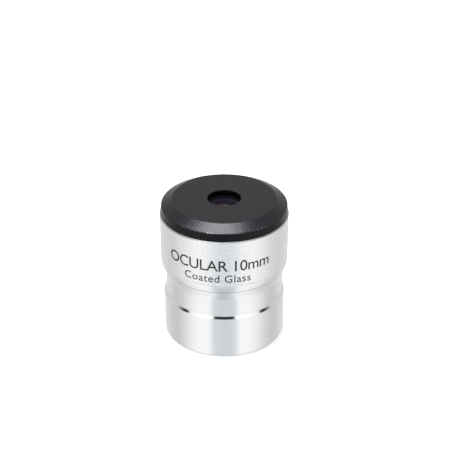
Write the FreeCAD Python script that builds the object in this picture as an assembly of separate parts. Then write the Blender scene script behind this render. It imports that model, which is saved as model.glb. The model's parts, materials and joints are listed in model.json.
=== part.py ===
"""A 10 mm telescope eyepiece for a 1.25 inch focuser, as an assembly of its separate pieces.

Frame: millimetres, +Z up along the optical axis, origin at the centre of the barrel's open lower end.
The telescope's light comes in at the bottom, through the barrel, and the eye looks in at the top.

From the bottom up: a satin barrel with a filter thread, a safety undercut and a threaded spigot; a
bead-blasted housing that screws onto the spigot; a lens cell clamped in the housing's web by a lock
ring; and a black eye cap that screws into the housing's top. The cell holds two cemented doublets
with their crown elements face to face, a spacer between them, a retaining ring below them and the
field stop in their focal plane. Both screw joints have real helical threads of the same pitch.
"""

import FreeCAD, Part
import math
import os

# --- Driving dimensions, in mm -------------------------------------------------------------------
BARREL_R = 15.85            # outside of the 1.25 inch barrel, which slides in a focuser
HOUSING_R = 16.57           # outside of the housing
CAP_R = 16.19               # rim of the eye cap
HEIGHT = 38.05              # overall, barrel end to eye cap face
EYE_HOLE_R = 4.25           # hole in the eye cap
FIT_GAP = 0.03              # clearance between pieces that sit against each other
LENS_R = 5.4                # edge radius of all four lens elements

# Heights of the main faces.
CHAMFER_BASE_Z = 11.43      # where the undercut's lower chamfer starts on the barrel
PARTING_Z = 19.68           # barrel shoulder, where the housing seats
HOUSING_TOP_Z = 34.43       # housing's top face, where the eye cap seats
CAP_EDGE_Z = 36.62          # top of the eye cap's cylindrical rim
CAP_FLAT_R = 13.35          # edge of the eye cap's flat face
CAP_RIM_ROUND = 0.2         # where the cap's rim meets its broad chamfer
CAP_EDGE_BREAK = 0.12

# Barrel.
UNDERCUT_R = 15.31
EDGE_CHAMFER = 0.25         # general broken edge
BORE_R = 13.5
RIB_DEPTH = 0.28            # light-trap grooves in the bore
RIB_PITCH = 0.6
RIB_BASE_Z = 5.6
RIB_COUNT = 19
RIB_OPEN = 0.8              # half the height of the cutter's open side, over the pitch
SHOULDER_R = 16.145         # radius at the parting line
FLARE_SLOPE = math.tan(math.radians(20))    # flare from undercut to housing, outward per height
FLARE_FOOT_R = 3.0          # concave radius at the flare's foot
BAND_R = 5.0                # convex radius of the housing's turned band
EDGE_BREAK = 0.07           # fine chamfer on each side of the parting line

# Screw joints: barrel spigot and eye cap spigot, the same size, M30 x 0.75.
SCREW_R = 15.0              # nominal major radius
SCREW_PITCH = 0.75
SPIGOT_TOP_Z = 24.0
CAP_SPIGOT_Z = 31.3
SPIGOT_BORE_R = 12.6        # inside of the cap's spigot
LEAD_IN = 0.3               # chamfer at a thread's mouth

# Filter thread at the barrel's lower end, M28.5 x 0.6.
FILTER_R = 14.25
FILTER_PITCH = 0.6
FILTER_LENGTH = 4.2
FILTER_RELIEF = 0.7         # undercut above the filter thread

# Proportions and clearances of every thread.
FLANK = math.tan(math.radians(30))      # half of a 60 degree thread angle
ROOT_SHARE = 0.6134         # external thread depth over pitch
CREST_SHARE = 0.5413        # internal thread depth over pitch
PITCH_SHARE = 0.3248        # pitch line below the major radius, over pitch
RADIAL_GAP = 0.05           # between an external thread's crest and its nominal radius
FLANK_GAP = 0.09            # taken off the width of the external thread
MALE_BITE = 0.08            # how far an external ridge reaches into its core
FEMALE_BITE = 0.02          # how far an internal ridge reaches into the wall around it
CREST_TRIM = 0.05           # bored off an internal ridge, which leaves its crest a true cylinder
LEAST_SHARE = 0.2           # of its trimming ring, which every thread fills and a lost one doesn't

# Housing web, which carries the lens cell.
WEB_BASE_Z = 26.6
WEB_TOP_Z = 30.2
INNER_STEP_R = 13.1         # bore between the lower thread and the web
CELL_R = 8.0
CELL_FLANGE_R = 9.8
CELL_FLANGE = 1.4           # thickness
CELL_FOOT_R = 7.1           # below the lock ring's thread
CELL_THREAD_RUNOUT = 0.6    # how far the full radius goes on below the lock ring
LOCK_RING_R = 10.6
LOCK_RING = 1.55            # thickness

# Lens stack, focal length 10 mm: two equal achromats of crown n 1.517 and flint n 1.673.
CROWN_FACE_R = 8.8          # outer curve of each crown
CEMENT_FACE_R = 14.08       # cemented curve
FLINT_CENTRE = 1.3          # centre thickness of each flint, whose outer face is flat
CROWN_EDGE = 0.6
CEMENT = 0.01               # cement film
CROWN_GAP = 0.4             # air between the two crowns, on the axis
FOCUS_BELOW_STACK = 6.77    # field stop below the lowest lens face
LENS_TOP_Z = 36.0
LENS_SEAT_GAP = 0.02
SPACER_WALL = 0.55
CLEAR_R = 4.75              # cell's opening over the eye lens
RING_BORE_R = 6.0           # cell's bore below the lenses
RING_HOLE_R = 4.8           # hole in the retaining ring
FIELD_STOP_R = 4.67         # gives an apparent field of 50 degrees
CELL_FOOT_Z = 17.9
CELL_TOP_Z = 36.33
RING_HEIGHT = 1.2
RING_BEVEL = 0.35           # inside the retaining ring's lower edge
STOP_THICKNESS = 0.9
STOP_EDGE = 0.1             # height of the field stop's sharp edge
STOP_BEVEL = 0.5            # how much wider the field stop opens below its edge
SPANNER_SLOT = 1.0          # width of every spanner slot
SPANNER_DEPTH = 0.5
LOCK_SLOT_LENGTH = 1.3      # of the lock ring's slots, inwards from its edge
CUT_PAST = 1.0              # how far a cutting tool reaches past the piece
WASHER = 0.22               # thickness of both washers
WASHER_PLAY = 0.15          # around a washer


# --- Helpers -------------------------------------------------------------------------------------
def point(r, z):
    return FreeCAD.Vector(r, 0, z)


def turned(*outline):
    """Solid of revolution about Z. Each entry is a corner (r, z), or an arc ((r, z), (r, z)) given by
    a point on it and its end."""
    edges = []
    here = outline[0]
    for step in outline[1:] + (outline[0],):
        if isinstance(step[0], tuple):
            through, end = step
            edges.append(Part.Arc(point(*here), point(*through), point(*end)).toShape())
        else:
            end = step
            if end != here:
                edges.append(Part.LineSegment(point(*here), point(*end)).toShape())
        here = end
    face = Part.Face(Part.Wire(edges))
    return face.revolve(FreeCAD.Vector(0, 0, 0), FreeCAD.Vector(0, 0, 1), 360)


def rounded(before, corner, after, radius):
    """Arc that rounds a corner of an outline: where it starts, then (its middle, its end)."""
    corner_at = point(*corner)
    back = (point(*before) - corner_at).normalize()
    onward = (point(*after) - corner_at).normalize()
    half = back.getAngle(onward) / 2
    start = corner_at + back * (radius / math.tan(half))
    end = corner_at + onward * (radius / math.tan(half))
    inward = (back + onward).normalize()
    middle = corner_at + inward * (radius / math.sin(half) - radius)
    return (start.x, start.z), ((middle.x, middle.z), (end.x, end.z))


def tube(inner_r, outer_r, base_z, top_z):
    return turned((inner_r, base_z), (outer_r, base_z), (outer_r, top_z), (inner_r, top_z))


def sag(radius, r):
    """Depth of a spherical face of that radius at height r from the axis."""
    return radius - math.sqrt(radius ** 2 - r ** 2)


def helix_solid(inner, outer, pitch, base_z, top_z):
    """A ridge swept along a right-handed helix that crosses z = 0 at +X, for a turn or more past
    base_z and top_z. inner and outer are the (radius, width) of the ridge's two sides."""
    first = math.floor(base_z / pitch) - 1
    turns = math.ceil(top_z / pitch) + 1 - first
    corners = [
        (inner[0], -inner[1] / 2),
        (outer[0], -outer[1] / 2),
        (outer[0], outer[1] / 2),
        (inner[0], inner[1] / 2),
    ]
    form = Part.makePolygon([point(r, z) for r, z in corners + corners[:1]])
    path = Part.makeHelix(pitch, turns * pitch, inner[0])
    swept = Part.Wire(path).makePipeShell([form], True, True)
    swept.translate(FreeCAD.Vector(0, 0, first * pitch))
    return swept


def groove_width(r, major_r, pitch):
    """Axial width, at radius r, of the groove between the ridges of an internal 60 degree thread."""
    return pitch / 2 + 2 * FLANK * (major_r - PITCH_SHARE * pitch - r)


def male_core(major_r, pitch):
    return major_r - ROOT_SHARE * pitch - RADIAL_GAP


def female_bore(major_r, pitch):
    return major_r - CREST_SHARE * pitch


def fuse_thread(body, ridge, limits):
    """body and the part of the ridge inside limits as one solid. A boolean operation on a helical
    face can lose it without an error, so the volumes are tested."""
    thread = ridge.common(limits)
    whole = body.fuse(thread)
    if thread.Volume < LEAST_SHARE * limits.Volume or whole.Volume < body.Volume + thread.Volume / 2:
        raise RuntimeError("a thread was lost")
    return whole


def with_male_thread(body, major_r, pitch, base_z, top_z):
    """body, with an external thread around its core, bevelled at both ends."""
    root_r = male_core(major_r, pitch) - MALE_BITE
    crest_r = major_r - RADIAL_GAP
    ridge = helix_solid(
        (root_r, groove_width(root_r, major_r, pitch) - FLANK_GAP),
        (crest_r, groove_width(crest_r, major_r, pitch) - FLANK_GAP),
        pitch,
        base_z,
        top_z,
    )
    limits = turned(
        (root_r - LEAD_IN, base_z),
        (crest_r - LEAD_IN, base_z),
        (crest_r + LEAD_IN, base_z + 2 * LEAD_IN),
        (crest_r + LEAD_IN, top_z - 2 * LEAD_IN),
        (crest_r - LEAD_IN, top_z),
        (root_r - LEAD_IN, top_z),
    )
    return fuse_thread(body, ridge, limits)


def with_female_thread(body, major_r, pitch, base_z, top_z, mouth):
    """body, with an internal thread in its bore of radius major_r. Its mouth is at the base for mouth -1
    and at the top for mouth 1, and the thread fades out on a bevel just short of it."""
    crest_r = female_bore(major_r, pitch)
    tip_r = crest_r - CREST_TRIM
    root_r = major_r + FEMALE_BITE
    ridge = helix_solid(
        (tip_r, pitch - groove_width(tip_r, major_r, pitch)),
        (root_r, pitch - groove_width(root_r, major_r, pitch)),
        pitch,
        base_z,
        top_z,
    )
    ridge.translate(FreeCAD.Vector(0, 0, pitch / 2))
    ends = ridge.BoundBox
    ridge = ridge.cut(Part.makeCylinder(crest_r, ends.ZLength, FreeCAD.Vector(0, 0, ends.ZMin)))
    mouth_z, inner_z = (base_z, top_z) if mouth < 0 else (top_z, base_z)
    bevel = root_r - crest_r + 2 * LEAD_IN
    limits = turned(
        (crest_r - LEAD_IN, inner_z),
        (root_r + LEAD_IN, inner_z),
        (root_r + LEAD_IN, mouth_z),
        (crest_r - LEAD_IN, mouth_z - mouth * bevel),
    )
    return fuse_thread(body, ridge, limits)


def spanner_slots(piece, inner_r, outer_r, base_z, top_z):
    """Two slots on a diameter, for a pin spanner."""
    length = outer_r - inner_r
    for side in (1, -1):
        slot = Part.makeBox(length, SPANNER_SLOT, top_z - base_z)
        start = inner_r if side == 1 else -outer_r
        slot.translate(FreeCAD.Vector(start, -SPANNER_SLOT / 2, base_z))
        piece = piece.cut(slot)
    return piece


# --- Barrel --------------------------------------------------------------------------------------
def flare_r(z):
    """Radius of the straight flare, which crosses the parting line, at a height."""
    return SHOULDER_R + (z - PARTING_Z) * FLARE_SLOPE


def flare_z(r):
    """Height at which the straight flare reaches a radius."""
    return PARTING_Z + (r - SHOULDER_R) / FLARE_SLOPE


def make_barrel():
    spigot_r = male_core(SCREW_R, SCREW_PITCH)
    undercut_base = (UNDERCUT_R, CHAMFER_BASE_Z + BARREL_R - UNDERCUT_R)
    flare_top = (flare_r(PARTING_Z - EDGE_BREAK), PARTING_Z - EDGE_BREAK)
    flare_foot = (UNDERCUT_R, flare_z(UNDERCUT_R))
    body = turned(
        (FILTER_R, 0),
        (BARREL_R - EDGE_CHAMFER, 0),
        (BARREL_R, EDGE_CHAMFER),
        (BARREL_R, CHAMFER_BASE_Z),
        undercut_base,
        *rounded(undercut_base, flare_foot, flare_top, FLARE_FOOT_R),
        flare_top,
        (SHOULDER_R - EDGE_BREAK, PARTING_Z),
        (spigot_r, PARTING_Z),
        (spigot_r, SPIGOT_TOP_Z - LEAD_IN),
        (spigot_r - LEAD_IN, SPIGOT_TOP_Z),
        (BORE_R, SPIGOT_TOP_Z),
        (BORE_R, FILTER_LENGTH + FILTER_RELIEF),
        (FILTER_R, FILTER_LENGTH + FILTER_RELIEF),
    )
    for rib in range(RIB_COUNT):
        groove_z = RIB_BASE_Z + rib * RIB_PITCH
        body = body.cut(
            turned(
                (BORE_R - RIB_DEPTH, groove_z - RIB_PITCH * RIB_OPEN),
                (BORE_R + RIB_DEPTH, groove_z),
                (BORE_R - RIB_DEPTH, groove_z + RIB_PITCH * RIB_OPEN),
            )
        )
    body = with_female_thread(body, FILTER_R, FILTER_PITCH, 0, FILTER_LENGTH, -1)
    return with_male_thread(body, SCREW_R, SCREW_PITCH, PARTING_Z + 2 * FIT_GAP, SPIGOT_TOP_Z - LEAD_IN)


def make_barrel_washer():
    """Thin washer between the spigot's end and the housing's inner step."""
    base_z = SPIGOT_TOP_Z + FIT_GAP
    outer_r = male_core(SCREW_R, SCREW_PITCH) - LEAD_IN
    return tube(BORE_R + WASHER_PLAY, outer_r, base_z, base_z + WASHER)


# --- Housing -------------------------------------------------------------------------------------
def make_housing():
    seat_z = PARTING_Z + FIT_GAP
    band_base = (flare_r(seat_z + EDGE_BREAK), seat_z + EDGE_BREAK)
    band_corner = (HOUSING_R, flare_z(HOUSING_R))
    wall_top = (HOUSING_R, HOUSING_TOP_Z - EDGE_CHAMFER)
    stop_z = SPIGOT_TOP_Z + WASHER + 2 * FIT_GAP
    body = turned(
        (SCREW_R, seat_z + EDGE_BREAK),
        (SCREW_R + EDGE_BREAK, seat_z),
        (flare_r(seat_z) - EDGE_BREAK, seat_z),
        band_base,
        *rounded(band_base, band_corner, wall_top, BAND_R),
        wall_top,
        (HOUSING_R - EDGE_CHAMFER, HOUSING_TOP_Z),
        (SCREW_R + EDGE_BREAK, HOUSING_TOP_Z),
        (SCREW_R, HOUSING_TOP_Z - EDGE_BREAK),
        (SCREW_R, WEB_TOP_Z),
        (CELL_R + FIT_GAP, WEB_TOP_Z),
        (CELL_R + FIT_GAP, WEB_BASE_Z),
        (INNER_STEP_R, WEB_BASE_Z),
        (INNER_STEP_R, stop_z),
        (SCREW_R, stop_z),
    )
    body = with_female_thread(body, SCREW_R, SCREW_PITCH, seat_z, stop_z - FIT_GAP, -1)
    return with_female_thread(body, SCREW_R, SCREW_PITCH, CAP_SPIGOT_Z, HOUSING_TOP_Z, 1)


# --- Eye cap -------------------------------------------------------------------------------------
def make_eye_cap():
    seat_z = HOUSING_TOP_Z + FIT_GAP
    spigot_r = male_core(SCREW_R, SCREW_PITCH)
    ceiling_z = CELL_TOP_Z + WASHER + 2 * FIT_GAP
    rim_base = (CAP_R, seat_z + CAP_EDGE_BREAK)
    face_edge = (CAP_FLAT_R, HEIGHT)
    body = turned(
        (EYE_HOLE_R, ceiling_z),
        (SPIGOT_BORE_R, ceiling_z),
        (SPIGOT_BORE_R, CAP_SPIGOT_Z),
        (spigot_r - LEAD_IN, CAP_SPIGOT_Z),
        (spigot_r, CAP_SPIGOT_Z + LEAD_IN),
        (spigot_r, seat_z),
        (CAP_R - CAP_EDGE_BREAK, seat_z),
        rim_base,
        *rounded(rim_base, (CAP_R, CAP_EDGE_Z), face_edge, CAP_RIM_ROUND),
        face_edge,
        (EYE_HOLE_R + CAP_EDGE_BREAK, HEIGHT),
        (EYE_HOLE_R, HEIGHT - CAP_EDGE_BREAK),
    )
    return with_male_thread(body, SCREW_R, SCREW_PITCH, CAP_SPIGOT_Z + LEAD_IN, seat_z - 2 * FIT_GAP)


def make_cap_washer():
    """Thin washer between the lens cell's top and the underside of the eye cap."""
    base_z = CELL_TOP_Z + FIT_GAP
    return tube(CLEAR_R + WASHER_PLAY, CELL_R - WASHER_PLAY, base_z, base_z + WASHER)


# --- Lens stack ----------------------------------------------------------------------------------
CROWN_SAG = sag(CROWN_FACE_R, LENS_R)
CEMENT_SAG = sag(CEMENT_FACE_R, LENS_R)
CROWN_CENTRE = CROWN_SAG + CEMENT_SAG + CROWN_EDGE
STACK = 2 * (FLINT_CENTRE + CEMENT + CROWN_CENTRE) + CROWN_GAP
LENS_BASE_Z = LENS_TOP_Z - STACK
MIRROR_Z = LENS_TOP_Z - STACK / 2       # the stack is symmetric about this plane
FIELD_STOP_Z = LENS_BASE_Z - FOCUS_BELOW_STACK


def make_flint(face_z, side):
    """Plano-concave flint. Its flat face is at face_z, and its hollow faces down for side 1."""
    vertex_z = face_z - side * FLINT_CENTRE
    half = LENS_R / 2
    return turned(
        (0, vertex_z),
        (0, face_z),
        (LENS_R, face_z),
        (LENS_R, vertex_z - side * CEMENT_SAG),
        ((half, vertex_z - side * sag(CEMENT_FACE_R, half)), (0, vertex_z)),
    )


def make_crown(face_z, side):
    """Biconvex crown, cemented to the flint whose flat face is at face_z."""
    top_z = face_z - side * (FLINT_CENTRE + CEMENT)
    low_z = top_z - side * CROWN_CENTRE
    half = LENS_R / 2
    return turned(
        (0, low_z),
        (0, top_z),
        ((half, top_z - side * sag(CEMENT_FACE_R, half)), (LENS_R, top_z - side * CEMENT_SAG)),
        (LENS_R, low_z + side * CROWN_SAG),
        ((half, low_z + side * sag(CROWN_FACE_R, half)), (0, low_z)),
    )


def make_lens_spacer():
    """Ring between the two crowns, bevelled at both ends to sit on their curved faces."""
    inner_r = LENS_R - SPACER_WALL
    crown_edge_z = LENS_TOP_Z - FLINT_CENTRE - CEMENT - CEMENT_SAG - CROWN_EDGE
    reach = crown_edge_z - MIRROR_Z - FIT_GAP
    inner_reach = reach - (CROWN_SAG - sag(CROWN_FACE_R, inner_r))
    return turned(
        (inner_r, MIRROR_Z - inner_reach),
        (LENS_R, MIRROR_Z - reach),
        (LENS_R, MIRROR_Z + reach),
        (inner_r, MIRROR_Z + inner_reach),
    )


def make_lens_cell():
    bore_r = LENS_R + FIT_GAP
    seat_z = LENS_TOP_Z + LENS_SEAT_GAP
    step_z = WEB_BASE_Z - LOCK_RING - CELL_THREAD_RUNOUT
    return turned(
        (CLEAR_R, seat_z),
        (bore_r, seat_z),
        (bore_r, LENS_BASE_Z),
        (RING_BORE_R, LENS_BASE_Z),
        (RING_BORE_R, CELL_FOOT_Z),
        (CELL_FOOT_R, CELL_FOOT_Z),
        (CELL_FOOT_R, step_z),
        (CELL_R, step_z),
        (CELL_R, WEB_TOP_Z + FIT_GAP),
        (CELL_FLANGE_R, WEB_TOP_Z + FIT_GAP),
        (CELL_FLANGE_R, WEB_TOP_Z + CELL_FLANGE),
        (CELL_R, WEB_TOP_Z + CELL_FLANGE),
        (CELL_R, CELL_TOP_Z - EDGE_CHAMFER),
        (CELL_R - EDGE_CHAMFER, CELL_TOP_Z),
        (CLEAR_R, CELL_TOP_Z),
    )


def make_retaining_ring():
    top_z = LENS_BASE_Z - FIT_GAP
    base_z = top_z - RING_HEIGHT
    ring = turned(
        (RING_HOLE_R, top_z),
        (RING_HOLE_R, base_z + RING_BEVEL),
        (RING_HOLE_R + RING_BEVEL, base_z),
        (RING_BORE_R - FIT_GAP, base_z),
        (RING_BORE_R - FIT_GAP, top_z),
    )
    return spanner_slots(
        ring, RING_HOLE_R - CUT_PAST, RING_BORE_R + CUT_PAST, base_z - CUT_PAST, base_z + SPANNER_DEPTH
    )


def make_field_stop():
    """Threaded ring whose sharp edge, in the focal plane, bounds the field of view."""
    base_z = FIELD_STOP_Z - STOP_THICKNESS
    ring = turned(
        (FIELD_STOP_R, FIELD_STOP_Z),
        (FIELD_STOP_R, FIELD_STOP_Z - STOP_EDGE),
        (FIELD_STOP_R + STOP_BEVEL, base_z),
        (RING_BORE_R - FIT_GAP, base_z),
        (RING_BORE_R - FIT_GAP, FIELD_STOP_Z),
    )
    return spanner_slots(
        ring, FIELD_STOP_R - CUT_PAST, RING_BORE_R + CUT_PAST, base_z - CUT_PAST, base_z + SPANNER_DEPTH
    )


def make_cell_lock_ring():
    top_z = WEB_BASE_Z - FIT_GAP
    base_z = top_z - LOCK_RING
    ring = turned(
        (CELL_R + FIT_GAP, base_z),
        (LOCK_RING_R - EDGE_CHAMFER, base_z),
        (LOCK_RING_R, base_z + EDGE_CHAMFER),
        (LOCK_RING_R, top_z),
        (CELL_R + FIT_GAP, top_z),
    )
    return spanner_slots(
        ring, LOCK_RING_R - LOCK_SLOT_LENGTH, LOCK_RING_R + CUT_PAST, base_z - CUT_PAST, top_z + CUT_PAST
    )


# --- Export --------------------------------------------------------------------------------------
PIECES = {
    "barrel": make_barrel(),
    "barrel_washer": make_barrel_washer(),
    "housing": make_housing(),
    "lens_cell": make_lens_cell(),
    "eye_flint_lens": make_flint(LENS_TOP_Z, 1),
    "eye_crown_lens": make_crown(LENS_TOP_Z, 1),
    "lens_spacer": make_lens_spacer(),
    "field_crown_lens": make_crown(LENS_BASE_Z, -1),
    "field_flint_lens": make_flint(LENS_BASE_Z, -1),
    "lens_retaining_ring": make_retaining_ring(),
    "field_stop": make_field_stop(),
    "cell_lock_ring": make_cell_lock_ring(),
    "cap_washer": make_cap_washer(),
    "eye_cap": make_eye_cap(),
}

os.makedirs("parts", exist_ok=True)
for name, shape in PIECES.items():
    if not shape.isValid() or len(shape.Solids) != 1:
        raise RuntimeError(name + " is not one valid solid")
    shape.Solids[0].exportStep("parts/" + name + ".step")
    print(name, round(shape.Volume, 2), "mm3")
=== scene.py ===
import json
import math

import bmesh
import bpy
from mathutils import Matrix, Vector


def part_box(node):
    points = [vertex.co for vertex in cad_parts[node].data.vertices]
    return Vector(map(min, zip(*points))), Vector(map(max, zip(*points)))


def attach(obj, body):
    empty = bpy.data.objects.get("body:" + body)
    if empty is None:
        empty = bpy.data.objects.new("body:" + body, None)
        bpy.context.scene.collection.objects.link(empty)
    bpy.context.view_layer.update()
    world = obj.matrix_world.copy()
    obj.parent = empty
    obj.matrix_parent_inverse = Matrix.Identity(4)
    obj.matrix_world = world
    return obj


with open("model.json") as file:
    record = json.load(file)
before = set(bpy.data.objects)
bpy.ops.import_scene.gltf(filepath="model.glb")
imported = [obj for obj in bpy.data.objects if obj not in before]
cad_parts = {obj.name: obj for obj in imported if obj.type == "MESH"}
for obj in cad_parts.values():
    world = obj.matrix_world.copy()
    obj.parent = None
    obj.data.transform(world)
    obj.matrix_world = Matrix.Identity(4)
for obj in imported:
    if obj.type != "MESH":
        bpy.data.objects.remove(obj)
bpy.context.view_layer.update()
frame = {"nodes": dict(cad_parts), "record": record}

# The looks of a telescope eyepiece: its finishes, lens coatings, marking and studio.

# --- Sizes and places, in metres -----------------------------------------------------------------
MM = 0.001
MOUNT_SIZES = {mount["name"]: mount["dims"] for mount in frame["record"]["mounts"]}
EDGE = 0.08 * MM                # how far a fine broken edge reaches, and with it the painted shade on the joints' edges
CLEAR = 0.05 * MM               # by how much the bevel's faces clear the undercut

# Barrel.
BARREL_R = MOUNT_SIZES["barrel"]["r_mm"] * MM
UNDERCUT_R = 15.31 * MM
BEVEL_Z = 11.43 * MM            # lower edge of the undercut's bevel
BEVEL_HEIGHT = BARREL_R - UNDERCUT_R    # it slopes at 45 degrees
PARTING_Z = 19.68 * MM          # shoulder, where the housing sits
SPIGOT_Z = 19.0 * MM            # the threaded spigot is all above this
BORE_LIMIT_R = 14.6 * MM        # below the spigot, what lies nearer the axis is the bore
SPIGOT_LIMIT_R = 13.8 * MM      # in the spigot, what lies nearer the axis is the bore

# Housing.
HOUSING_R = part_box("housing")[1].x
HOUSING_TOP_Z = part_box("housing")[1].z
BAND_TOP_Z = 21.73 * MM         # above it the outside is bead-blasted
TOP_EDGE = 3 * EDGE             # how far the broken edge at the top, painted dull as shade under the cap's rim, reaches down from the top
THREAD_LIMIT_R = 15.2 * MM      # what lies nearer the axis is inside
WEB_LIMIT_R = 13.2 * MM         # what lies nearer the axis is black

# Eye cap.
CAP_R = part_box("eye_cap")[1].x
CAP_RIM_R = 0.99 * CAP_R        # what lies further out, below the chamfer, is the rim
CAP_EDGE_Z = 36.62 * MM         # where the chamfer meets the rim
CAP_ROUND = 0.1 * MM            # how far the chamfer's finish reaches below that
EYE_HOLE_R = 4.25 * MM

# How much a face looks up or down: 1 for a level one, 0 for a wall.
CAP_FLAT = 0.96                 # the cap's flat face looks up more than this
BORE_WALL = 0.5                 # the bore's wall in the spigot does so less than this
LENS_WALL = 0.1                 # a lens's edge does so less than this

# Camera, fitted to the object's outline.
CAMERA_AT = Vector((0.2, -255.98, 174.56)) * MM
CAMERA_DOWN = math.radians(29.435)
LENS_MM = 91.1
SENSOR_MM = 36.0


# --- Node helpers --------------------------------------------------------------------------------
class Nodes:
    """Adds and links shader nodes. A value is a number, a tuple or another node's output."""

    def __init__(self, tree):
        self.tree = tree

    def add(self, kind, inputs=None, **settings):
        node = self.tree.nodes.new(kind)
        for name, value in settings.items():
            setattr(node, name, value)
        for name, value in (inputs or {}).items():
            self.put(node.inputs[name], value)
        return node

    def put(self, socket, value):
        if isinstance(value, bpy.types.NodeSocket):
            self.tree.links.new(value, socket)
        else:
            socket.default_value = value

    def math(self, operation, *values):
        node = self.add("ShaderNodeMath", operation=operation)
        for index, value in enumerate(values):
            self.put(node.inputs[index], value)
        return node.outputs[0]

    def product(self, one, other):
        return self.math("MULTIPLY", one, other)

    def rise(self, value, start, end, low=0.0, high=1.0):
        """Smooth step from low at start to high at end."""
        node = self.add(
            "ShaderNodeMapRange",
            {"Value": value, "From Min": start, "From Max": end, "To Min": low, "To Max": high},
            interpolation_type="SMOOTHSTEP",
        )
        return node.outputs[0]

    def fall(self, value, start, end, high=1.0):
        """Smooth step from high at start to 0 at end."""
        return self.rise(value, start, end, high, 0.0)

    def band(self, value, low, high, soft):
        """1 inside a range, 0 outside, with soft edges."""
        start = self.rise(value, low - soft, low + soft)
        end = self.fall(value, high - soft, high + soft)
        return self.product(start, end)

    def mix(self, share, under, over):
        """Colour under where share is 0 and colour over where it is 1."""
        node = self.add(
            "ShaderNodeMix", {"Factor": share, "A": under, "B": (*over, 1)}, data_type="RGBA"
        )
        return node.outputs[2]


class Surface(Nodes):
    """A new material. Its patterns lie in the object's own coordinates, and their scales are cells
    per metre."""

    def __init__(self, name):
        self.material = bpy.data.materials.new(name)
        self.material.use_nodes = True
        super().__init__(self.material.node_tree)
        self.sockets = self.tree.nodes["Principled BSDF"].inputs

    def set(self, name, value):
        self.put(self.sockets[name], value)

    def place(self, stretch=(1.0, 1.0, 1.0)):
        coordinates = self.add("ShaderNodeTexCoord")
        mapping = self.add("ShaderNodeMapping", {"Vector": coordinates.outputs["Object"], "Scale": stretch})
        return mapping.outputs[0]

    def height_above(self, level):
        parts = self.add("ShaderNodeSeparateXYZ", {"Vector": self.place()})
        return self.math("SUBTRACT", parts.outputs[2], level)

    def noise(self, scale, detail=2.0, stretch=(1.0, 1.0, 1.0)):
        where = self.place(stretch)
        node = self.add("ShaderNodeTexNoise", {"Vector": where, "Scale": scale, "Detail": detail})
        return node.outputs["Fac"]

    def shade(self, pattern, base, darkest):
        """Base colour, which a pattern darkens down to a share of itself."""
        return self.mix(pattern, (*[part * darkest for part in base], 1), base)

    def vary(self, pattern, rough, spread):
        """Roughness, which a pattern varies by a share of itself either way."""
        return self.rise(pattern, 0.3, 0.7, rough * (1 - spread), rough * (1 + spread))

    def set_bump(self, pattern, depth, strength=1.0):
        node = self.add("ShaderNodeBump", {"Height": pattern, "Strength": strength, "Distance": depth})
        self.set("Normal", node.outputs[0])


# --- Metals --------------------------------------------------------------------------------------
TURNED_STRETCH = (40.0, 40.0, 9000.0)       # of the noise that makes the lathe's lines
QUARTER_TURN = 0.25                         # lays the smear across the lines
BLAST_LINE = 0.12 * MM                      # the matt line's height above the band
BLAST_LINE_CORE = 0.08 * MM                 # from its middle to where it starts to fade
BLAST_LINE_REACH = 0.2 * MM                 # from its middle to where it fades out
WEAR_CORE = 0.03 * MM                       # the same two for the worn edge of the cap
WEAR_REACH = 0.12 * MM
BARE_METAL = (0.22, 0.22, 0.22)
ANODISED_GLOSS = (0.93, 0.94, 1.0, 1)


def turned_metal(name, base, rough, anisotropy, line_depth):
    """Metal finished on a lathe: fine circumferential lines, which smear reflections up and down."""
    surface = Surface(name)
    lines = surface.noise(1.0, detail=3.0, stretch=TURNED_STRETCH)
    smudges = surface.noise(260.0, detail=3.0)
    surface.set("Base Color", surface.shade(smudges, base, 0.97))
    surface.set("Roughness", surface.vary(lines, rough, 0.05))
    surface.set_bump(lines, line_depth)
    tangent = surface.add("ShaderNodeTangent", direction_type="RADIAL", axis="Z")
    surface.set("Tangent", tangent.outputs[0])
    surface.set("Metallic", 1.0)
    surface.set("Anisotropic", anisotropy)
    surface.set("Anisotropic Rotation", QUARTER_TURN)
    return surface.material


def blasted_metal(name, base, rough, grain_depth):
    """Bead-blasted metal: a fine even grain of tiny dimples that sparkles. A matt line marks where
    the blasting ends on the housing."""
    surface = Surface(name)
    grain = surface.noise(9000.0)
    coarse = surface.noise(3600.0)
    dimples = surface.math("ADD", grain, surface.product(coarse, 4.0))
    surface.set("Base Color", surface.shade(surface.rise(coarse, 0.35, 0.65), base, 0.86))
    height = surface.height_above(BAND_TOP_Z)
    away = surface.math("ABSOLUTE", surface.math("SUBTRACT", height, BLAST_LINE))
    line = surface.fall(away, BLAST_LINE_CORE, BLAST_LINE_REACH, 0.8)
    surface.set("Roughness", surface.math("MAXIMUM", surface.vary(grain, rough, 0.15), line))
    surface.set_bump(dimples, grain_depth)
    surface.set("Metallic", 1.0)
    return surface.material


def black_anodised(name, base, rough, grain_scale, grain_depth, specular=0.5, worn=False):
    """Black anodised metal. Where the cap's edge is worn, bare metal shows through in specks."""
    surface = Surface(name)
    grain = surface.noise(grain_scale)
    colour = surface.shade(grain, base, 0.8)
    if worn:
        away = surface.math("ABSOLUTE", surface.height_above(CAP_EDGE_Z))
        edge = surface.fall(away, WEAR_CORE, WEAR_REACH)
        patches = surface.rise(surface.noise(190.0), 0.5, 0.62)
        specks = surface.rise(surface.noise(2200.0, detail=3.0), 0.48, 0.6)
        wear = surface.product(edge, surface.product(patches, specks))
        colour = surface.mix(wear, colour, BARE_METAL)
        surface.set("Metallic", wear)
    surface.set("Base Color", colour)
    surface.set("Roughness", surface.vary(grain, rough, 0.15))
    surface.set_bump(grain, grain_depth)
    surface.set("Specular IOR Level", specular)
    surface.set("Specular Tint", ANODISED_GLOSS)
    return surface.material


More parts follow.
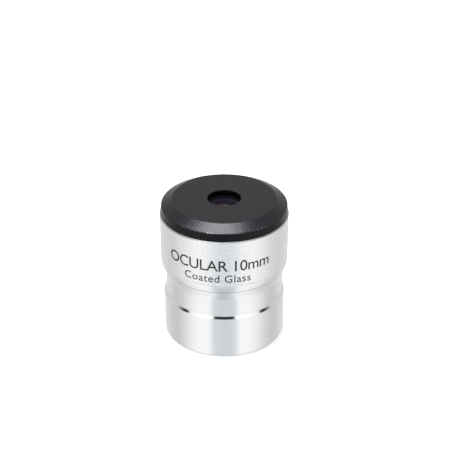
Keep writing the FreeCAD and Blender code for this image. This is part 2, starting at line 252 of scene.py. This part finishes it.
SILVER = (0.86, 0.875, 0.885)
BRIGHT = (0.93, 0.93, 0.93)
# Painted shade: a dull grey metal for the broken edges at the joints, standing in for the shade in the gaps
# between parts.
JOINT_SHADE_GREY = (0.45, 0.46, 0.47)
BLASTED_SILVER = (0.94, 0.945, 0.95)
CAP_BLACK = (0.004, 0.004, 0.006)
RIM_BLACK = (0.003, 0.003, 0.0045)
# Painted shade: the eye hole's wall is a darker black than the rest of the cap, which is one anodised
# piece.
HOLE_SHADE_BLACK = (0.001, 0.001, 0.0014)
INSIDE_BLACK = (0.010, 0.010, 0.011)
LENS_EDGE_BLACK = (0.008, 0.008, 0.008)

TURNED = turned_metal("turned_aluminium", SILVER, 0.30, anisotropy=0.9, line_depth=0.0002 * MM)
POLISHED = turned_metal("bright_bevel", BRIGHT, 0.10, anisotropy=0.3, line_depth=0.0001 * MM)
# Painted shade on the broken edges at the parting line and under the cap's rim.
JOINT_SHADE = turned_metal("joint_edge_painted_shade", JOINT_SHADE_GREY, 0.35, anisotropy=0.5, line_depth=0.0002 * MM)
BLASTED = blasted_metal("blasted_aluminium", BLASTED_SILVER, 0.31, grain_depth=0.02 * MM)
CAP_FACE = black_anodised("cap_anodised", CAP_BLACK, 0.38, 6000.0, 0.008 * MM, specular=0.29)
CAP_CHAMFER = black_anodised("cap_chamfer", CAP_BLACK, 0.27, 3200.0, 0.04 * MM, specular=0.345, worn=True)
CAP_RIM = black_anodised("cap_rim", RIM_BLACK, 0.34, 3200.0, 0.008 * MM, specular=0.17, worn=True)
# Painted shade in the eye hole: the cap's black anodising, darkened further.
HOLE_WALL_SHADE = black_anodised("cap_hole_painted_shade", HOLE_SHADE_BLACK, 0.5, 5000.0, 0.006 * MM, specular=0.1)
INNER_BLACK = black_anodised("inner_anodised", INSIDE_BLACK, 0.55, 5000.0, 0.008 * MM)
LENS_EDGE = black_anodised("blackened_lens_edge", LENS_EDGE_BLACK, 0.7, 7000.0, 0.004 * MM)

# --- Glass, nylon and ink ------------------------------------------------------------------------
# Two cemented faces lie on each other, so the flint's one bends the light between the two glasses
# and the crown's one does nothing.
FLINT_IOR = 1.673
CROWN_IOR = 1.517
FILM_IOR = 1.29                 # of the anti-reflection coating, as if it were one film
FILM_NM = 130.0
BLOOM_TINT = (0.60, 0.36, 0.78, 1)
ALL_MIRRORED = (1.0, 1.0, 1.0)
TEAL_MIRRORED = (0.04, 0.12, 0.12)
FLINT_TINT = (0.97, 0.97, 0.94)
CROWN_TINT = (0.96, 0.98, 0.97)
CEMENT_TINT = (0.99, 0.99, 0.98)


def glass(name, ior, tint, film=0.0, bloom=0.0, mirrored=ALL_MIRRORED):
    """Clear, faintly dusty glass, with a film of that thickness in nanometres and that much of its
    purple bloom. mirrored is the colour and strength of what the glass reflects face on."""
    surface = Surface(name)
    dust = surface.noise(3000.0, detail=3.0)
    surface.set("Base Color", surface.shade(dust, tint, 0.98))
    surface.set("Roughness", surface.rise(dust, 0.55, 0.8, 0.0, 0.02))
    surface.set("Transmission Weight", 1.0)
    surface.set("IOR", ior)
    surface.set("Thin Film Thickness", film)
    surface.set("Thin Film IOR", FILM_IOR)
    surface.set("Specular Tint", (*mirrored, 1))
    surface.set("Sheen Weight", bloom)
    surface.set("Sheen Roughness", 0.5)
    surface.set("Sheen Tint", BLOOM_TINT)
    return surface.material


def plastic(name, base, rough):
    surface = Surface(name)
    grain = surface.noise(5000.0)
    surface.set("Base Color", surface.shade(grain, base, 0.8))
    surface.set("Roughness", surface.vary(grain, rough, 0.1))
    surface.set_bump(grain, 0.01 * MM, strength=0.5)
    return surface.material


FLINT = glass("flint_glass", FLINT_IOR, FLINT_TINT, film=FILM_NM, bloom=0.24)
CROWN = glass("crown_glass", CROWN_IOR, CROWN_TINT, mirrored=TEAL_MIRRORED)
FLINT_CEMENT = glass("flint_cement", FLINT_IOR / CROWN_IOR, CEMENT_TINT)
CROWN_CEMENT = glass("crown_cement", 1.0, CEMENT_TINT)
NYLON = plastic("black_nylon", (0.02, 0.02, 0.02), 0.5)
INK = plastic("marking_ink", (0.012, 0.012, 0.014), 0.5)


# --- Finishes of the CAD nodes -------------------------------------------------------------------
def dress(node, materials, choose=None):
    """Gives a CAD node its materials. choose picks one for each face, by its distance from the axis,
    its height and how much it looks up. Without it, the first one is everywhere."""
    mesh = frame["nodes"][node].data
    mesh.materials.clear()
    for material in materials:
        mesh.materials.append(material)
    for face in mesh.polygons:
        picked = materials[0]
        if choose:
            r = math.hypot(face.center.x, face.center.y)
            picked = choose(r, face.center.z, face.normal.z)
        face.material_index = materials.index(picked)


def barrel_finish(r, z, up):
    in_bore = r < BORE_LIMIT_R and z < SPIGOT_Z
    in_spigot = r < SPIGOT_LIMIT_R and abs(up) < BORE_WALL
    if (in_bore or in_spigot) and z > EDGE:
        return INNER_BLACK
    if BEVEL_Z < z < BEVEL_Z + BEVEL_HEIGHT and r > UNDERCUT_R + CLEAR:
        return POLISHED
    # painted shade on the shoulder's broken edge, at the joint with the housing
    if PARTING_Z - EDGE < z < PARTING_Z:
        return JOINT_SHADE
    return TURNED


def housing_finish(r, z, up):
    # painted shade on the broken edges at the parting line and under the cap's rim
    if r > UNDERCUT_R and (z < PARTING_Z + EDGE or z > HOUSING_TOP_Z - TOP_EDGE):
        return JOINT_SHADE
    if r < WEB_LIMIT_R:
        return INNER_BLACK
    if z < BAND_TOP_Z or r < THREAD_LIMIT_R:
        return TURNED
    return BLASTED


def cap_finish(r, z, up):
    # the eye hole's wall gets the darkest black, as painted shade in the hole
    if r < EYE_HOLE_R + EDGE:
        return HOLE_WALL_SHADE
    if z > CAP_EDGE_Z - CAP_ROUND and up < CAP_FLAT and r > CAP_R / 2:
        return CAP_CHAMFER
    if r > CAP_RIM_R:
        return CAP_RIM
    return CAP_FACE


def dress_lens(node, outer, cemented, side):
    """side is 1 where the cemented face looks up and -1 where it looks down."""
    def choose(r, z, up):
        if up * side > LENS_WALL:
            return cemented
        if abs(up) < LENS_WALL:
            return LENS_EDGE
        return outer

    dress(node, (outer, cemented, LENS_EDGE), choose)


dress("barrel", (TURNED, POLISHED, INNER_BLACK, JOINT_SHADE), barrel_finish)
dress("housing", (BLASTED, TURNED, JOINT_SHADE, INNER_BLACK), housing_finish)
dress("eye_cap", (CAP_FACE, CAP_CHAMFER, CAP_RIM, HOLE_WALL_SHADE), cap_finish)
for name in ("lens_cell", "lens_spacer", "lens_retaining_ring", "field_stop", "cell_lock_ring"):
    dress(name, (INNER_BLACK,))
for name in ("barrel_washer", "cap_washer"):
    dress(name, (NYLON,))
dress_lens("eye_flint_lens", FLINT, FLINT_CEMENT, -1)
dress_lens("eye_crown_lens", CROWN, CROWN_CEMENT, 1)
dress_lens("field_crown_lens", CROWN, CROWN_CEMENT, -1)
dress_lens("field_flint_lens", FLINT, FLINT_CEMENT, 1)

# --- Marking -------------------------------------------------------------------------------------
TEXT_PROUD = 0.015 * MM         # how far the ink stands above the metal, and reaches into it
TEXT_STEP = 0.15 * MM           # the letters are cut this often, so that they follow the curve
CURVE_STEPS = 6                 # of each curve in a letter
SPACING_ROUNDS = 8              # enough for the line's width to settle
SPACING_GAIN = 1.2              # spaces are only a part of the width, so they change by more


def flat_letters(name, words, height, weight, width):
    """A line of flat letters, spaced to fill a width. height is the tallest letter's, before weight
    is added all round each stroke."""
    curve = bpy.data.curves.new(name, "FONT")
    curve.body = words
    curve.size = 1.0
    curve.resolution_u = CURVE_STEPS
    text = bpy.data.objects.new(name + "_flat", curve)
    bpy.context.scene.collection.objects.link(text)

    def letters():
        bpy.context.view_layer.update()
        return bpy.data.meshes.new_from_object(text)

    curve.size = height / max(v.co.y for v in letters().vertices)
    curve.offset = weight
    spread = 1.0
    for _ in range(SPACING_ROUNDS):
        curve.space_character = spread
        mesh = letters()
        across = [v.co.x for v in mesh.vertices]
        spread *= 1 + (width / (max(across) - min(across)) - 1) * SPACING_GAIN
    bpy.data.objects.remove(text)
    return mesh


def wrapped_text(name, words, height, weight, baseline_z, arc_from, arc_to):
    """Letters as thin solids lying on the housing. Angles are from the front, towards +X."""
    width = HOUSING_R * (arc_to - arc_from)
    mesh = flat_letters(name, words, height, weight, width)
    shape = bmesh.new()
    shape.from_mesh(mesh)
    left = min(v.co.x for v in shape.verts)
    first_cut = math.floor(left / TEXT_STEP)
    last_cut = math.ceil((left + width) / TEXT_STEP)
    for cut in range(first_cut, last_cut + 1):
        bmesh.ops.bisect_plane(
            shape, geom=shape.verts[:] + shape.edges[:] + shape.faces[:],
            plane_co=(cut * TEXT_STEP, 0, 0), plane_no=(1, 0, 0),
        )
    copied = bmesh.ops.extrude_face_region(shape, geom=shape.faces[:])["geom"]
    outer = {part for part in copied if isinstance(part, bmesh.types.BMVert)}
    for v in shape.verts:
        angle = arc_from + (v.co.x - left) / HOUSING_R
        r = HOUSING_R + (TEXT_PROUD if v in outer else -TEXT_PROUD)
        v.co = Vector((r * math.sin(angle), -r * math.cos(angle), baseline_z + v.co.y))
    bmesh.ops.recalc_face_normals(shape, faces=shape.faces[:])
    shape.to_mesh(mesh)
    shape.free()
    mesh.materials.clear()
    mesh.materials.append(INK)
    piece = bpy.data.objects.new(name, mesh)
    bpy.context.scene.collection.objects.link(piece)
    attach(piece, "housing")


wrapped_text("marking_upper", "OCULAR 10mm", 2.96 * MM, 0.02 * MM, 26.2 * MM,
             math.radians(-53.7), math.radians(42))
wrapped_text("marking_lower", "Coated Glass", 2.1 * MM, 0.01 * MM, 22.95 * MM,
             math.radians(-36.3), math.radians(23.5))

# --- Camera and floor ----------------------------------------------------------------------------
FLOOR_HALF = 3.0                # half of the floor's side
FLOOR_DROP = 0.05 * MM          # keeps the floor clear of the barrel's foot
PAPER_DARK = (0.93, 0.93, 0.93, 1)
PAPER_LIGHT = (0.95, 0.95, 0.95)

scene = bpy.context.scene
scene.view_settings.view_transform = "Standard"

camera_data = bpy.data.cameras.new("camera")
camera_data.lens = LENS_MM
camera_data.sensor_width = SENSOR_MM
camera_data.clip_start = 10 * MM
camera = bpy.data.objects.new("camera", camera_data)
camera.location = CAMERA_AT
camera.rotation_euler = (math.radians(90) - CAMERA_DOWN, 0, 0)
scene.collection.objects.link(camera)
scene.camera = camera

paper = Surface("paper")
fibres = paper.noise(900.0, detail=3.0)
paper.set("Base Color", paper.mix(fibres, PAPER_DARK, PAPER_LIGHT))
paper.set("Roughness", 0.9)
paper.set("Specular IOR Level", 0.0)

floor_mesh = bpy.data.meshes.new("floor")
floor_shape = bmesh.new()
bmesh.ops.create_grid(floor_shape, x_segments=1, y_segments=1, size=FLOOR_HALF)
floor_shape.to_mesh(floor_mesh)
floor_shape.free()
floor_mesh.materials.append(paper.material)
floor = bpy.data.objects.new("floor", floor_mesh)
floor.location.z = -FLOOR_DROP
floor.visible_glossy = False
scene.collection.objects.link(floor)


# --- Light ---------------------------------------------------------------------------------------
def grey(level):
    return (level, level, level)


WALLS = grey(0.66)
BACK_LOW = grey(0.86)
SIDE_BOXES = grey(1.14)
FRONT_GAP = (0.82, 0.86, 0.88)
FRONT_GAP_LOW = (0.56, 0.60, 0.625)
DARK = grey(0.04)
CEILING_BOX = grey(13.3)
ALMOST_LEVEL = 0.01             # stands in for lower directions, which never reach the ceiling


def light_dome(dome):
    """Softboxes and the gaps between them, painted over each other by direction. Bearings are degrees
    from the front, positive towards +X, and tilts are degrees above the horizon. A place on the
    ceiling is across to the right and to the back, with the ceiling one unit up."""
    direction = dome.add("ShaderNodeTexCoord").outputs["Generated"]
    x, y, z = dome.add("ShaderNodeSeparateXYZ", {"Vector": direction}).outputs
    front = dome.product(y, -1.0)
    bearing = dome.math("DEGREES", dome.math("ARCTAN2", x, front))
    side = dome.math("ABSOLUTE", bearing)
    tilt = dome.math("DEGREES", dome.math("ARCSINE", z))
    above = dome.math("MAXIMUM", z, ALMOST_LEVEL)
    across = dome.math("DIVIDE", x, above)
    back = dome.math("DIVIDE", y, above)

    gap = dome.band(bearing, -25.0, 25.0, 3.0)
    low_back = dome.product(dome.rise(side, 112.0, 135.0), dome.fall(tilt, -20.0, 0.0))
    low_sides = dome.product(dome.fall(side, 60.0, 130.0), dome.fall(tilt, -70.0, -40.0))
    low_gap = dome.product(gap, dome.fall(tilt, -46.0, -34.0))
    high_gap = dome.product(gap, dome.band(tilt, 42.0, 68.0, 4.0))
    flag_sides = dome.product(dome.rise(side, 75.0, 81.0), dome.fall(side, 86.0, 106.0))
    flags = dome.product(flag_sides, dome.band(tilt, 12.0, 50.0, 5.0))
    ceiling = dome.product(dome.band(across, -0.36, 0.19, 0.04), dome.band(back, -0.2, 0.4, 0.04))

    light = (*WALLS, 1)
    for mask, colour in (
        (dome.fall(side, 45.0, 110.0), SIDE_BOXES),
        (low_back, BACK_LOW),
        (low_sides, SIDE_BOXES),
        (gap, FRONT_GAP),
        (low_gap, FRONT_GAP_LOW),
        (high_gap, DARK),
        (flags, DARK),
        (ceiling, CEILING_BOX),
    ):
        light = dome.mix(mask, light, colour)
    background = dome.add("ShaderNodeBackground", {"Color": light, "Strength": 1.0})
    dome.add("ShaderNodeOutputWorld", {"Surface": background.outputs[0]})


world = bpy.data.worlds.new("studio")
scene.world = world
world.use_nodes = True
world.node_tree.nodes.clear()
light_dome(Nodes(world.node_tree))
